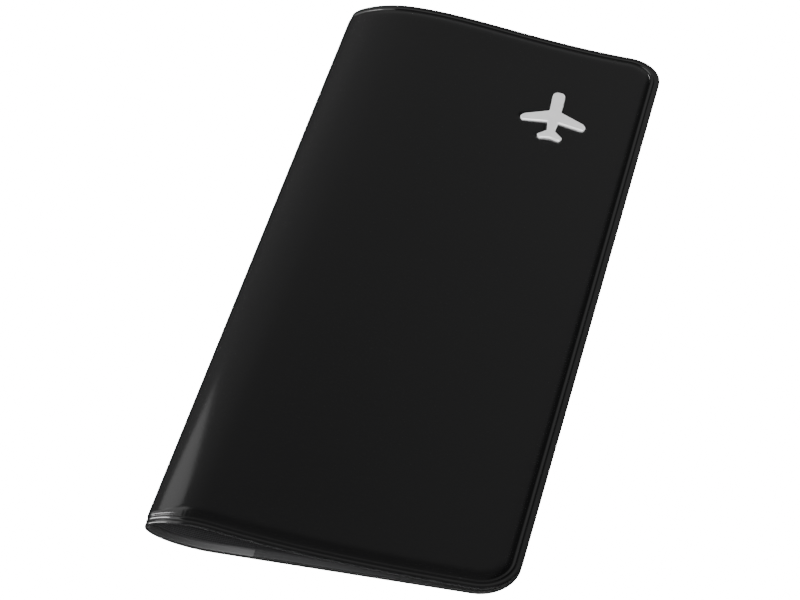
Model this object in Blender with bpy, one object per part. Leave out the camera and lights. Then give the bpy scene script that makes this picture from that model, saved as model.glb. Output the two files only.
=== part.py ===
"""Travel wallet for a passport and tickets: a padded book cover of glossy sheet, folded along its left side.

The wallet lies closed on its back cover. X runs from the fold to the fore-edge, Y from the near end to the
far end, and Z up. The origin is the middle of the wallet at the height it rests on. Every sheet follows one
outline, which runs from the back cover's fore-edge along the underside, round the fold and over the front
cover to its fore-edge. Two hinge lines on the fold let the cover open flat.
"""
import math

import bmesh
import bpy
import numpy as np
from mathutils import Matrix, Vector

MM = 0.001

# Closed wallet
LENGTH = 230.0 * MM
WIDTH = 100.0 * MM
CORNER_RADIUS = 11.0 * MM

# Sheets and the air between them
SKIN = 0.30 * MM
FOAM = 0.40 * MM
LINING = 0.20 * MM
POCKET = 0.20 * MM
CARD_SLOT = 0.20 * MM
GAP = 0.20 * MM
COVERS_APART = 0.40 * MM

# Welded rim: flat along the edge, then a slope up to the padding
RIM_WIDTH = 2.5 * MM
RIM_SLOPE = 2.0 * MM

# Fold, and the front cover's crest at the two ends
FOLD_TIP_HEIGHT = 6.5 * MM
LOWER_HINGE_DROP = 0.9 * MM
UPPER_HINGE_RISE = 1.9 * MM
BACK_CURL = 19.0 * MM
CREST_HEIGHT = {"near": 10.3 * MM, "far": 13.2 * MM}
CREST_SETBACK = {"near": 13.0 * MM, "far": 19.0 * MM}

# Tension of the front cover's curves: shares of the climb to the crest and of the run from it
CLIMB_SHARE = {"near": 0.53, "far": 0.41}
SHOULDER_SHARE = {"near": 0.092, "far": 0.26}
HOLLOW_SHARE = {"near": 0.25, "far": 0.57}
HOLLOW_LIFT = 0.5 * MM

# Pockets, measured from the fore-edge and the ends
POCKET_DEPTH = 70.0 * MM
CARD_MARGIN = 10.0 * MM
CARD_SLOT_WIDTH = 57.0 * MM
CARD_SLOT_LENGTH = 62.0 * MM
CARD_SLOT_COUNT = 2
CARD_SLOT_SPACING = 30.0 * MM

# Aeroplane emblem, a flat plate with two legs
EMBLEM_FROM_FORE_EDGE = 27.6 * MM
EMBLEM_FROM_FAR_END = 35.8 * MM
EMBLEM_LENGTH = 23.0 * MM
EMBLEM_SPAN = 20.4 * MM
EMBLEM_THICKNESS = 0.9 * MM
EMBLEM_BEVEL = 0.25 * MM
EMBLEM_LIFT = 0.35 * MM
LEG_RADIUS = 0.7 * MM
LEG_SPACING = 12.0 * MM
LEG_CLEARANCE = 0.3 * MM
RETAINER_RADIUS = 2.2 * MM
RETAINER_THICKNESS = 0.15 * MM
LEG_PAST_RETAINER = 0.10 * MM
DRILL_REACH = 3.0 * MM

# Derived sizes
PAD_RISE = FOAM + GAP
LINING_DEPTH = SKIN + GAP
POCKET_SHEET_DEPTH = LINING_DEPTH + LINING + GAP
CARD_SLOT_DEPTH = POCKET_SHEET_DEPTH + POCKET + GAP
RIM_STACK = POCKET_SHEET_DEPTH + POCKET
FORE_EDGE_HEIGHT = PAD_RISE + 2.0 * RIM_STACK + COVERS_APART
LOWER_HINGE_HEIGHT = FOLD_TIP_HEIGHT - LOWER_HINGE_DROP
UPPER_HINGE_HEIGHT = FOLD_TIP_HEIGHT + UPPER_HINGE_RISE
LEG_DEPTH = SKIN + GAP + RETAINER_THICKNESS + LEG_PAST_RETAINER

# Smoothness of the sheets
CURVE_SAMPLES = 400
TANGENT_STEP = 0.15 * MM
EDGE_COLUMNS = (0.0, 0.12, 0.45)
FLAT_STRIPS = 9
BEND_STRIPS = 7
BEND_REACH = 1.3 * BACK_CURL
MIDDLE_ROWS = 4
SPINE_STRIPS = 4
DISC_SIDES = 20
SHARP_ANGLE = math.radians(40.0)
BEVEL_ANGLE = math.radians(60.0)


def clear_scene():
    """Remove every object of the start-up scene."""
    for item in list(bpy.data.objects):
        bpy.data.objects.remove(item, do_unlink=True)


def finish(name, colour, roughness, metallic=0.0):
    """Return a Principled material with one colour."""
    material = bpy.data.materials.new(name)
    material.use_nodes = True
    shader = material.node_tree.nodes["Principled BSDF"]
    shader.inputs["Base Color"].default_value = (*colour, 1.0)
    shader.inputs["Roughness"].default_value = roughness
    shader.inputs["Metallic"].default_value = metallic
    return material


def cubic(points):
    """Points along a cubic Bezier of four (x, z) corners, as an array with one row a point."""
    share = np.linspace(0.0, 1.0, CURVE_SAMPLES)[:, None]
    rest = 1.0 - share
    p0, p1, p2, p3 = (np.asarray(point)[None, :] for point in points)
    return rest**3 * p0 + 3.0 * rest**2 * share * p1 + 3.0 * rest * share**2 * p2 + share**3 * p3


def end_outline(end):
    """The outline at the near or far end: (distance, points, distance of the fold's tip).

    It runs flat under the back, curls up to the fold's tip, rises to the front's crest and falls to the
    fore-edge, at the height of the rim.
    """
    tip_x = -WIDTH / 2.0
    fore_x = WIDTH / 2.0
    crest_x = tip_x + CREST_SETBACK[end]
    crest_z = CREST_HEIGHT[end]
    run = fore_x - crest_x
    curl = cubic((
        (tip_x + BACK_CURL, PAD_RISE),
        (tip_x + BACK_CURL / 2.0, PAD_RISE),
        (tip_x, (FOLD_TIP_HEIGHT + PAD_RISE) / 2.0),
        (tip_x, FOLD_TIP_HEIGHT),
    ))
    rise = cubic((
        (tip_x, FOLD_TIP_HEIGHT),
        (tip_x, FOLD_TIP_HEIGHT + CLIMB_SHARE[end] * (crest_z - FOLD_TIP_HEIGHT)),
        (crest_x - CREST_SETBACK[end] / 2.0, crest_z),
        (crest_x, crest_z),
    ))
    fall = cubic((
        (crest_x, crest_z),
        (crest_x + SHOULDER_SHARE[end] * run, crest_z),
        (crest_x + HOLLOW_SHARE[end] * run, FORE_EDGE_HEIGHT + HOLLOW_LIFT),
        (fore_x, FORE_EDGE_HEIGHT),
    ))
    points = np.concatenate([[(WIDTH / 2.0, PAD_RISE)], curl, rise[1:], fall[1:]])
    distance = np.concatenate([[0.0], np.cumsum(np.hypot(*np.diff(points, axis=0).T))])
    return distance, points, float(distance[CURVE_SAMPLES])


NEAR_OUTLINE = end_outline("near")
FAR_OUTLINE = end_outline("far")
TIP_DISTANCE = NEAR_OUTLINE[2]
OUTLINE_LENGTH = float(NEAR_OUTLINE[0][-1] + FAR_OUTLINE[0][-1]) / 2.0


def outline_points(distance, along):
    """Points (x, z) at a distance along the outline; along runs from 0 at the near end to 1 at the far end.

    The two ends' outlines are blended in proportion. Past the fold's tip each end's own length is used in
    proportion too, so that a line at one distance runs straight along the wallet.
    """
    ends = []
    for table, points, tip in (NEAR_OUTLINE, FAR_OUTLINE):
        stretch = (table[-1] - tip) / (OUTLINE_LENGTH - tip)
        own = np.where(distance > tip, tip + (distance - tip) * stretch, distance)
        ends.append(np.stack([np.interp(own, table, points[:, axis]) for axis in (0, 1)]))
    near, far = ends
    return near + (far - near) * along


def outline(distance, along):
    """Points (x, z) of the outline and its outward normals."""
    ahead = outline_points(np.minimum(distance + TANGENT_STEP, OUTLINE_LENGTH), along)
    behind = outline_points(np.maximum(distance - TANGENT_STEP, 0.0), along)
    travel = ahead - behind
    travel /= np.hypot(travel[0], travel[1])
    return outline_points(distance, along), np.stack([-travel[1], travel[0]])


def hinge_line(height):
    """Distance along the outline and (x, z) where the fold passes a height, half-way along the wallet."""
    distances = np.linspace(TIP_DISTANCE - BACK_CURL, TIP_DISTANCE + CREST_SETBACK["near"], CURVE_SAMPLES)
    points = outline_points(distances, 0.5)
    distance = float(np.interp(height, points[1], distances))
    return distance, float(np.interp(height, points[1], points[0])), height


LOWER_HINGE = hinge_line(LOWER_HINGE_HEIGHT)
UPPER_HINGE = hinge_line(UPPER_HINGE_HEIGHT)
BACK_SPAN = (0.0, LOWER_HINGE[0] - GAP)
SPINE_SPAN = (LOWER_HINGE[0] + GAP, UPPER_HINGE[0] - GAP)
FRONT_SPAN = (UPPER_HINGE[0] + GAP, OUTLINE_LENGTH)


def half_length(distance):
    """Half the wallet's length at a distance along the outline: shorter in the rounded corners."""
    to_edge = np.minimum(distance, OUTLINE_LENGTH - distance)
    into_corner = np.clip(CORNER_RADIUS - to_edge, 0.0, CORNER_RADIUS)
    return LENGTH / 2.0 - CORNER_RADIUS + np.sqrt(CORNER_RADIUS**2 - into_corner**2)


def padding(distance, y):
    """How far the skin stands off the rim's height: none on the rim and the spine, full on the foam."""
    to_end = half_length(distance) - np.abs(y)
    to_edge = np.minimum(distance, OUTLINE_LENGTH - distance)
    to_fold = np.where(distance < LOWER_HINGE[0], LOWER_HINGE[0] - distance, distance - UPPER_HINGE[0])
    inside = np.minimum(np.minimum(to_end, to_edge) - RIM_WIDTH, to_fold)
    return PAD_RISE * np.clip(inside / RIM_SLOPE, 0.0, 1.0)


def surface(distance, y, depth, padded):
    """World points at a depth under the outline's surface, following the padding where padded is true."""
    along = np.clip(y / LENGTH + 0.5, 0.0, 1.0)
    points, normals = outline(distance, along)
    height = (padding(distance, y) if padded else 0.0) - depth
    x, z = points + normals * height
    return np.stack([x, y, z], axis=-1)


def breaks(first, last, spacing_count):
    """Evenly spaced values between two ends."""
    return np.linspace(first, last, spacing_count + 1)


def from_edge(span, offsets):
    """Distances along the outline for offsets from a cover's fore-edge, in rising order."""
    first, last = span
    at_back = first < LOWER_HINGE[0]
    return np.sort(first + offsets if at_back else last - offsets)


def cover_offsets(span):
    """Offsets of a cover's columns: close together on the rim, in the corner and on the curved fold."""
    depth = span[1] - span[0]
    rim = [share * RIM_WIDTH for share in (*EDGE_COLUMNS, 1.0)]
    rim += [RIM_WIDTH + RIM_SLOPE + share * CORNER_RADIUS for share in (0.0, 0.2, 0.5)]
    flat = list(breaks(rim[-1], depth - BEND_REACH, FLAT_STRIPS))[1:]
    bend = list(breaks(flat[-1], depth - RIM_SLOPE, BEND_STRIPS))[1:]
    return rim + flat + bend + [depth]


def columns_between(span, start, end):
    """Columns of a sheet on part of a cover; it shares the cover's columns, so that their facets agree."""
    inner = [offset for offset in cover_offsets(span) if start < offset < end]
    return from_edge(span, np.array([start, *inner, end]))


def cover_rows():
    """Shares of the half length for a cover's rows: rim, slope, then even rows between."""
    half = LENGTH / 2.0
    outer = [1.0, 1.0 - RIM_WIDTH / half, 1.0 - (RIM_WIDTH + RIM_SLOPE) / half]
    middle = breaks(-outer[-1], outer[-1], MIDDLE_ROWS)[1:-1]
    return np.array([-share for share in outer] + list(middle) + outer[::-1])


def move_origin(item, owner):
    """Hang an object on an empty and keep its mesh where it is in the world."""
    if owner is not None:
        item.data.transform(Matrix.Translation(-owner["axis_point"].to_3d()))
        item.parent = owner["empty"]


def sheet(name, columns, rows, depth, thickness, material, owner, padded=False, fitted=True, inset=0.0):
    """A sheet that follows the outline: a grid on its outer face, given its thickness by Solidify.

    columns are distances along the outline. rows are shares of the half length less an inset when fitted,
    so that the ends follow the rounded corners, and Y values in metres when not.
    """
    distance, row = np.meshgrid(columns, rows, indexing="ij")
    y = row * (half_length(distance) - inset) if fitted else row
    points = surface(distance, y, depth, padded)
    mesh_builder = bmesh.new()
    grid = [[mesh_builder.verts.new(point) for point in line] for line in points]
    for line, next_line in zip(grid, grid[1:]):
        for corners in zip(next_line, next_line[1:], line[1:], line):
            mesh_builder.faces.new(corners)
    mesh = bpy.data.meshes.new(name)
    mesh_builder.to_mesh(mesh)
    mesh_builder.free()
    mesh.shade_smooth()
    mesh.set_sharp_from_angle(angle=SHARP_ANGLE)
    item = bpy.data.objects.new(name, mesh)
    item.data.materials.append(material)
    bpy.context.scene.collection.objects.link(item)
    wall = item.modifiers.new("wall", "SOLIDIFY")
    wall.thickness = thickness
    wall.offset = -1.0
    move_origin(item, owner)
    return item


def hinge_empty(name, hinge, parent):
    """An empty on a hinge line; it carries everything that turns about that line."""
    empty = bpy.data.objects.new(name, None)
    point = Vector((hinge[1], 0.0, hinge[2]))
    base = parent["axis_point"] if parent else Vector((0.0, 0.0, 0.0))
    empty.location = point - base
    empty.parent = parent["empty"] if parent else None
    bpy.context.scene.collection.objects.link(empty)
    return {"empty": empty, "axis_point": point}


def foam_pad(name, span, material, owner):
    """Foam under a cover's skin, inside the rim's slope."""
    inset = RIM_WIDTH + RIM_SLOPE
    columns = columns_between(span, inset, span[1] - span[0] - RIM_SLOPE)
    rows = breaks(-1.0, 1.0, MIDDLE_ROWS)
    return sheet(name, columns, rows, SKIN + GAP, FOAM, material, owner, padded=True, inset=inset)


def emblem_half_outline():
    """Right half of the aeroplane, nose to tail, as shares of its half span and half length."""
    return (
        (0.00, 1.00), (0.11, 0.965), (0.185, 0.88), (0.20, 0.18),
        (0.90, -0.13), (1.00, -0.27), (0.93, -0.45), (0.20, -0.33),
        (0.14, -0.70), (0.40, -0.93), (0.31, -1.06), (0.04, -0.99),
    )


def on_front_skin(x, y):
    """World point of the front cover's padded outer face at an X and a Y."""
    distances = np.linspace(TIP_DISTANCE, OUTLINE_LENGTH, CURVE_SAMPLES)
    distance = np.interp(x, outline_points(distances, y / LENGTH + 0.5)[0], distances)
    return Vector(surface(np.array([[distance]]), np.array([[y]]), 0.0, True)[0, 0])


def emblem_frame():
    """Matrix that puts the emblem on the front cover, its face along the cover's slope and clear of it."""
    x = WIDTH / 2.0 - EMBLEM_FROM_FORE_EDGE
    y = LENGTH / 2.0 - EMBLEM_FROM_FAR_END
    half_span = EMBLEM_SPAN / 2.0
    half_length_y = EMBLEM_LENGTH / 2.0
    across = (on_front_skin(x + half_span, y) - on_front_skin(x - half_span, y)).normalized()
    lengthwise = (on_front_skin(x, y + half_length_y) - on_front_skin(x, y - half_length_y)).normalized()
    normal = across.cross(lengthwise).normalized()
    lengthwise = normal.cross(across)
    rotation = Matrix((across, lengthwise, normal)).transposed()
    origin = on_front_skin(x, y)
    edge_points = [on_front_skin(x + u * half_span, y + v * half_length_y)
                   for u in (-1.0, 0.0, 1.0) for v in (-1.0, 0.0, 1.0)]
    highest = max((point - origin).dot(normal) for point in edge_points)
    origin += normal * (highest + EMBLEM_LIFT)
    return Matrix.Translation(origin) @ rotation.to_4x4()


def prism(name, corners, low, high, material):
    """A closed prism over a flat outline."""
    mesh_builder = bmesh.new()
    face = mesh_builder.faces.new([mesh_builder.verts.new((x, y, low)) for x, y in corners])
    face.normal_update()
    if face.normal.z > 0.0:
        face.normal_flip()
    raised = bmesh.ops.extrude_face_region(mesh_builder, geom=[face], use_keep_orig=True)
    top = [part for part in raised["geom"] if isinstance(part, bmesh.types.BMVert)]
    bmesh.ops.translate(mesh_builder, verts=top, vec=(0.0, 0.0, high - low))
    bmesh.ops.recalc_face_normals(mesh_builder, faces=mesh_builder.faces)
    mesh = bpy.data.meshes.new(name)
    mesh_builder.to_mesh(mesh)
    mesh_builder.free()
    item = bpy.data.objects.new(name, mesh)
    item.data.materials.append(material)
    bpy.context.scene.collection.objects.link(item)
    return item


def circle(centre_y, radius):
    """Corners of a round outline on the emblem's centre line."""
    turns = [2.0 * math.pi * step / DISC_SIDES for step in range(DISC_SIDES)]
    return [(radius * math.cos(turn), centre_y + radius * math.sin(turn)) for turn in turns]


def guide(name, corners, low, high, metal, frame, owner):
    """A prism that another object's Boolean uses, in the emblem's frame."""
    tool = prism(name, corners, low, high, metal)
    tool.data.transform(frame)
    tool.hide_render = True
    tool.display_type = "WIRE"
    move_origin(tool, owner)
    return tool


def boolean(item, tool, operation):
    """Add an exact Boolean with a guide as its second object."""
    step = item.modifiers.new(operation.lower(), "BOOLEAN")
    step.object = tool
    step.operation = operation
    step.solver = "EXACT"


def emblem(front_skin, front_foam, metal, owner):
    """The plate with its two legs, the holes that take them and the push-on retainers behind the skin."""
    frame = emblem_frame()
    right = [(x * EMBLEM_SPAN / 2.0, y * EMBLEM_LENGTH / 2.0) for x, y in emblem_half_outline()]
    left = [(-x, y) for x, y in reversed(right) if x > 0.0]
    plate = prism("emblem_plate", right + left, 0.0, EMBLEM_THICKNESS, metal)
    edge = plate.modifiers.new("edge", "BEVEL")
    edge.width = EMBLEM_BEVEL
    edge.segments = 1
    edge.limit_method = "ANGLE"
    edge.angle_limit = BEVEL_ANGLE
    plate.data.transform(frame)
    bore_radius = LEG_RADIUS + LEG_CLEARANCE
    pocket_radius = RETAINER_RADIUS + LEG_CLEARANCE
    for number, leg_y in enumerate((-LEG_SPACING / 2.0, LEG_SPACING / 2.0), start=1):
        foot = leg_foot(frame, leg_y)
        top = foot - SKIN - GAP
        low = foot - DRILL_REACH
        leg_top = EMBLEM_THICKNESS / 2.0
        end = foot - LEG_DEPTH
        leg = guide(f"leg_{number}", circle(leg_y, LEG_RADIUS), end, leg_top, metal, frame, owner)
        bore = guide(f"bore_{number}", circle(leg_y, bore_radius), low, DRILL_REACH, metal, frame, owner)
        space = guide(f"space_{number}", circle(leg_y, pocket_radius), low, DRILL_REACH, metal, frame, owner)
        name = f"emblem_retainer_{number}"
        retainer = prism(name, circle(leg_y, RETAINER_RADIUS), top - RETAINER_THICKNESS, top, metal)
        retainer.data.transform(frame)
        boolean(plate, leg, "UNION")
        boolean(front_skin, bore, "DIFFERENCE")
        boolean(front_foam, space, "DIFFERENCE")
        boolean(retainer, bore, "DIFFERENCE")
        move_origin(retainer, owner)
    move_origin(plate, owner)


def leg_foot(frame, leg_y):
    """Height of the skin's outer face under a leg, in the emblem's own frame."""
    spot = frame @ Vector((0.0, leg_y, 0.0))
    return (frame.inverted() @ on_front_skin(spot.x, spot.y)).z


def main():
    """Build every sheet and the emblem."""
    clear_scene()
    gloss = finish("gloss_skin", (0.012, 0.012, 0.013), 0.22)
    foam = finish("foam", (0.05, 0.05, 0.05), 0.95)
    grain = finish("grained_lining", (0.018, 0.018, 0.019), 0.7)
    panel = finish("pocket_sheet", (0.015, 0.015, 0.016), 0.5)
    metal = finish("satin_metal", (0.72, 0.73, 0.74), 0.32, 1.0)

    lower = hinge_empty("lower_fold_axis", LOWER_HINGE, None)
    upper = hinge_empty("upper_fold_axis", UPPER_HINGE, lower)
    rows = cover_rows()
    back = from_edge(BACK_SPAN, np.array(cover_offsets(BACK_SPAN)))
    spine = breaks(*SPINE_SPAN, SPINE_STRIPS)
    front = from_edge(FRONT_SPAN, np.array(cover_offsets(FRONT_SPAN)))

    sheet("outer_cover_back", back, rows, 0.0, SKIN, gloss, None, padded=True)
    sheet("outer_cover_spine", spine, rows, 0.0, SKIN, gloss, lower)
    front_skin = sheet("outer_cover_front", front, rows, 0.0, SKIN, gloss, upper, padded=True)

    foam_pad("foam_pad_back", BACK_SPAN, foam, None)
    front_foam = foam_pad("foam_pad_front", FRONT_SPAN, foam, upper)

    sheet("lining_back", back, rows, LINING_DEPTH, LINING, grain, None)
    sheet("lining_spine", spine, rows, LINING_DEPTH, LINING, grain, lower)
    sheet("lining_front", front, rows, LINING_DEPTH, LINING, grain, upper)

    back_pocket = columns_between(BACK_SPAN, 0.0, POCKET_DEPTH)
    front_pocket = columns_between(FRONT_SPAN, 0.0, POCKET_DEPTH)
    sheet("pocket_back", back_pocket, rows, POCKET_SHEET_DEPTH, POCKET, panel, None)
    sheet("pocket_front", front_pocket, rows, POCKET_SHEET_DEPTH, POCKET, panel, upper)

    card_columns = columns_between(FRONT_SPAN, CARD_MARGIN, CARD_MARGIN + CARD_SLOT_WIDTH)
    for number in range(CARD_SLOT_COUNT):
        start = CARD_MARGIN - LENGTH / 2.0 + number * (CARD_SLOT_LENGTH + CARD_SLOT_SPACING)
        card_rows = breaks(start, start + CARD_SLOT_LENGTH, 2)
        name = f"card_slot_{number + 1}"
        sheet(name, card_columns, card_rows, CARD_SLOT_DEPTH, CARD_SLOT, panel, upper, fitted=False)

    emblem(front_skin, front_foam, metal, upper)


main()
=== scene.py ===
"""Travel wallet for a passport and tickets: the surfaces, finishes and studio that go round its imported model.

The wallet is a book cover of glossy padded sheet. Every piece follows one folded outline, which runs from the
back cover's fore-edge along the underside, round the fold and over the front cover to its fore-edge. The
outline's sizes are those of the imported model. A sheet is first laid out flat, then wrapped on the outline.
"""

import logging
from dataclasses import dataclass, field
from enum import Enum
from typing import Callable, Optional, Sequence

import bpy
import numpy as np
from mathutils import Matrix, Vector


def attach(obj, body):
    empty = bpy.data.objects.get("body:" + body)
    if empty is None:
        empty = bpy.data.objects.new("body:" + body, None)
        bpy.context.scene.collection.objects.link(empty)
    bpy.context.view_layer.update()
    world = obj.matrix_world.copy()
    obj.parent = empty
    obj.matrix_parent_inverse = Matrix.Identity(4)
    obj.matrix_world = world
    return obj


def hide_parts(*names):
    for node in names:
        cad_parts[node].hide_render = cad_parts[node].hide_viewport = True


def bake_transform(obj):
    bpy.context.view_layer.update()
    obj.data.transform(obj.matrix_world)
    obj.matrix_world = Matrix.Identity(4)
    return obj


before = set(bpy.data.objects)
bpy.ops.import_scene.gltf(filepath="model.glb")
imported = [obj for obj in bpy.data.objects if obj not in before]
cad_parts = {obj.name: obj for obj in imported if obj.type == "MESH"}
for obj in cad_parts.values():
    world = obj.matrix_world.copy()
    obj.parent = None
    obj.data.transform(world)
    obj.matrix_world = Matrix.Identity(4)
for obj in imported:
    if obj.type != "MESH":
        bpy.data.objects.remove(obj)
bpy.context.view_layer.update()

MM = 0.001
HALF_LENGTH = 115.0 * MM
CORNER_RADIUS = 11.0 * MM
PAD_RISE = 0.6 * MM
LINING_DEPTH = 0.5 * MM
POCKET_DEPTH = 0.9 * MM
CARD_DEPTH = 1.3 * MM
CARD_CENTRES = (-74.0 * MM, 18.0 * MM)
SHEET_GAP = 0.01 * MM
CUT_FADE = (0.04 * MM, 0.2 * MM)
CUT_COLOUR = (0.003, 0.003, 0.003)
WHITE = (1.0, 1.0, 1.0, 1.0)

log = logging.getLogger("wallet")


class Cover(Enum):
    """The two halves of the folded cover."""

    BACK = "back"
    FRONT = "front"

    @property
    def body(self) -> str:
        """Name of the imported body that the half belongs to."""
        return f"{self.value}_half"

    @property
    def level(self) -> str:
        """Where the half lies when the wallet is closed."""
        return "lower" if self is Cover.BACK else "upper"


# --- Smooth shapes of one variable ----------------------------------------------------------------


def ease(value: np.ndarray, start: float, end: float) -> np.ndarray:
    """Rise smoothly from 0 at start to 1 at end: 3t^2 - 2t^3, with t the share of the way.

    Args:
        value: where the shape is wanted.
        start: value at which it leaves 0.
        end: value at which it reaches 1.

    Returns:
        The eased share at each value.
    """
    share = np.clip((value - start) / (end - start), 0.0, 1.0)
    return share * share * (3.0 - 2.0 * share)


def hump(value: np.ndarray, centre: float, reach: float) -> np.ndarray:
    """A smooth hump of height 1: (1 - t^2)^2, with t the distance from the centre over the reach.

    Args:
        value: where the shape is wanted.
        centre: value of the hump's top.
        reach: half the hump's width.

    Returns:
        The hump's height at each value.
    """
    share = np.clip(np.abs(value - centre) / reach, 0.0, 1.0)
    return (1.0 - share * share) ** 2


def swell(value: np.ndarray, start: float, end: np.ndarray, fullness: float = 2.0) -> np.ndarray:
    """Rise from 0 to 1 like a stuffed shoulder, quickly at first: 1 - (1 - t)^fullness.

    Args:
        value: where the shape is wanted.
        start: value at which it leaves 0.
        end: value at which it reaches 1.
        fullness: how round the shoulder is.

    Returns:
        The share of the full height at each value.
    """
    share = np.clip((value - start) / (end - start), 0.0, 1.0)
    return 1.0 - (1.0 - share) ** fullness


# --- The folded outline ---------------------------------------------------------------------------


@dataclass(frozen=True)
class EndShape:
    """How the front cover climbs from the fold and falls to the fore-edge at one end of the wallet."""

    crest_height: float
    crest_setback: float
    climb: float
    shoulder: float
    hollow: float


NEAR_END = EndShape(10.3 * MM, 13.0 * MM, 0.53, 0.092, 0.25)
FAR_END = EndShape(13.2 * MM, 19.0 * MM, 0.41, 0.26, 0.57)


@dataclass
class FoldedOutline:
    """The closed wallet's outline in X and Z, changing evenly from the near end to the far end."""

    half_width: float = 50.0 * MM
    front_overhang: float = 0.45 * MM
    tip_height: float = 6.5 * MM
    curl: float = 19.0 * MM
    fore_edge_height: float = 3.2 * MM
    hollow_lift: float = 0.5 * MM
    lower_hinge_height: float = 5.6 * MM
    upper_hinge_height: float = 8.4 * MM
    samples: int = 400
    step: float = 0.1 * MM
    softening: float = 0.8 * MM
    tangent_reach: float = 0.25 * MM
    ends: list = field(init=False)
    tip: float = field(init=False)
    total: float = field(init=False)
    lower_hinge: float = field(init=False)
    upper_hinge: float = field(init=False)
    seam: float = field(init=False)

    def __post_init__(self) -> None:
        """Tabulate the two ends and find the hinge lines."""
        self.ends = [self.tabulate(shape) for shape in (NEAR_END, FAR_END)]
        self.tip = self.ends[0][2]
        self.total = float(np.mean([table[0][-1] for table in self.ends]))
        self.lower_hinge = self.distance_at(self.lower_hinge_height)
        self.upper_hinge = self.distance_at(self.upper_hinge_height)
        self.seam = (self.lower_hinge + self.upper_hinge) / 2.0

    def inward(self, cover: Cover, distance: float | np.ndarray) -> float | np.ndarray:
        """Distance from a cover's own fore-edge for a distance along the outline, or back again."""
        return distance if cover is Cover.BACK else self.total - distance

    def hinge_inward(self, cover: Cover) -> float:
        """Distance of a cover's hinge line from its own fore-edge."""
        return self.inward(cover, self.lower_hinge if cover is Cover.BACK else self.upper_hinge)

    def bezier(self, corners: Sequence[tuple]) -> np.ndarray:
        """Points of a cubic Bezier: the four corners weighted by the Bernstein polynomials.

        Args:
            corners: the four corners (x, z).

        Returns:
            The points, one row each.
        """
        share = np.linspace(0.0, 1.0, self.samples)[:, None]
        rest = 1.0 - share
        first, second, third, last = (np.array(corner)[None, :] for corner in corners)
        return rest**3 * first + 3 * rest**2 * share * second + 3 * rest * share**2 * third + share**3 * last

    def tabulate(self, shape: EndShape) -> tuple:
        """Work out one end's outline: flat back, curl to the tip, rise to the crest, fall to the fore-edge.

        The joined Beziers are resampled at even steps and softened by a Gaussian, so that a gloss shows no
        change of curvature where two of them meet.

        Args:
            shape: the end's crest and tensions.

        Returns:
            Distances along the outline, points (x, z) there, and the distance of the fold's tip.
        """
        tip_x = -self.half_width
        fore_x = self.half_width + self.front_overhang
        crest_x = tip_x + shape.crest_setback
        crest_z = shape.crest_height
        run = fore_x - crest_x
        curl = self.bezier((
            (tip_x + self.curl, PAD_RISE),
            (tip_x + self.curl / 2.0, PAD_RISE),
            (tip_x, (self.tip_height + PAD_RISE) / 2.0),
            (tip_x, self.tip_height),
        ))
        rise = self.bezier((
            (tip_x, self.tip_height),
            (tip_x, self.tip_height + shape.climb * (crest_z - self.tip_height)),
            (crest_x - shape.crest_setback / 2.0, crest_z),
            (crest_x, crest_z),
        ))
        fall = self.bezier((
            (crest_x, crest_z),
            (crest_x + shape.shoulder * run, crest_z),
            (crest_x + shape.hollow * run, self.fore_edge_height + self.hollow_lift),
            (fore_x, self.fore_edge_height),
        ))
        rough = np.concatenate([[(self.half_width, PAD_RISE)], curl, rise[1:], fall[1:]])
        travelled = np.concatenate([[0.0], np.cumsum(np.hypot(*np.diff(rough, axis=0).T))])
        count = int(travelled[-1] / self.step)
        distances = np.linspace(0.0, travelled[-1], count)
        points = np.stack([np.interp(distances, travelled, rough[:, axis]) for axis in (0, 1)], axis=1)
        reach = int(4.0 * self.softening / self.step)
        offsets = np.arange(-reach, reach + 1) * self.step
        weights = np.exp(-0.5 * (offsets / self.softening) ** 2)
        weights /= weights.sum()
        before = 2.0 * points[0] - points[reach:0:-1]
        after = 2.0 * points[-1] - points[-2:-reach - 2:-1]
        padded = np.concatenate([before, points, after])
        soft = np.stack([np.convolve(padded[:, axis], weights, "valid") for axis in (0, 1)], axis=1)
        return distances, soft, float(travelled[self.samples])

    def points(self, distance: np.ndarray, along: np.ndarray) -> np.ndarray:
        """Points (x, z) at distances along the outline.

        The two ends' outlines are blended in proportion. Past the tip each end's own length is used in
        proportion too, so that a line at one distance runs straight along the wallet.

        Args:
            distance: distances from the back cover's fore-edge.
            along: 0 at the near end to 1 at the far end.

        Returns:
            An array whose first axis is x and z.
        """
        ends = []
        for table, points, tip in self.ends:
            stretch = (table[-1] - tip) / (self.total - tip)
            own = np.where(distance > tip, tip + (distance - tip) * stretch, distance)
            ends.append(np.stack([np.interp(own, table, points[:, axis]) for axis in (0, 1)]))
        near, far = ends
        return near + (far - near) * along

    def wrap(self, distance: np.ndarray, y: np.ndarray, lift: np.ndarray) -> np.ndarray:
        """World points that stand a lift off the outline: point + lift x outward normal.

        Args:
            distance: distances along the outline.
            y: places along the wallet.
            lift: heights along the outward normal; negative is inside.

        Returns:
            Points (x, y, z), one row each.
        """
        along = np.clip(y / (2.0 * HALF_LENGTH) + 0.5, 0.0, 1.0)
        ahead = self.points(np.minimum(distance + self.tangent_reach, self.total), along)
        behind = self.points(np.maximum(distance - self.tangent_reach, 0.0), along)
        travel = ahead - behind
        travel /= np.hypot(travel[0], travel[1])
        x, z = self.points(distance, along) + np.stack([-travel[1], travel[0]]) * lift
        return np.stack([x, y, z], axis=-1)

    def distance_at(self, height: float) -> float:
        """Distance along the outline where the fold passes a height, half-way along the wallet."""
        reach = np.linspace(self.tip - self.curl, self.tip + NEAR_END.crest_setback, self.samples)
        return float(np.interp(height, self.points(reach, 0.5)[1], reach))


# --- Sheets laid out flat -------------------------------------------------------------------------


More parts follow.
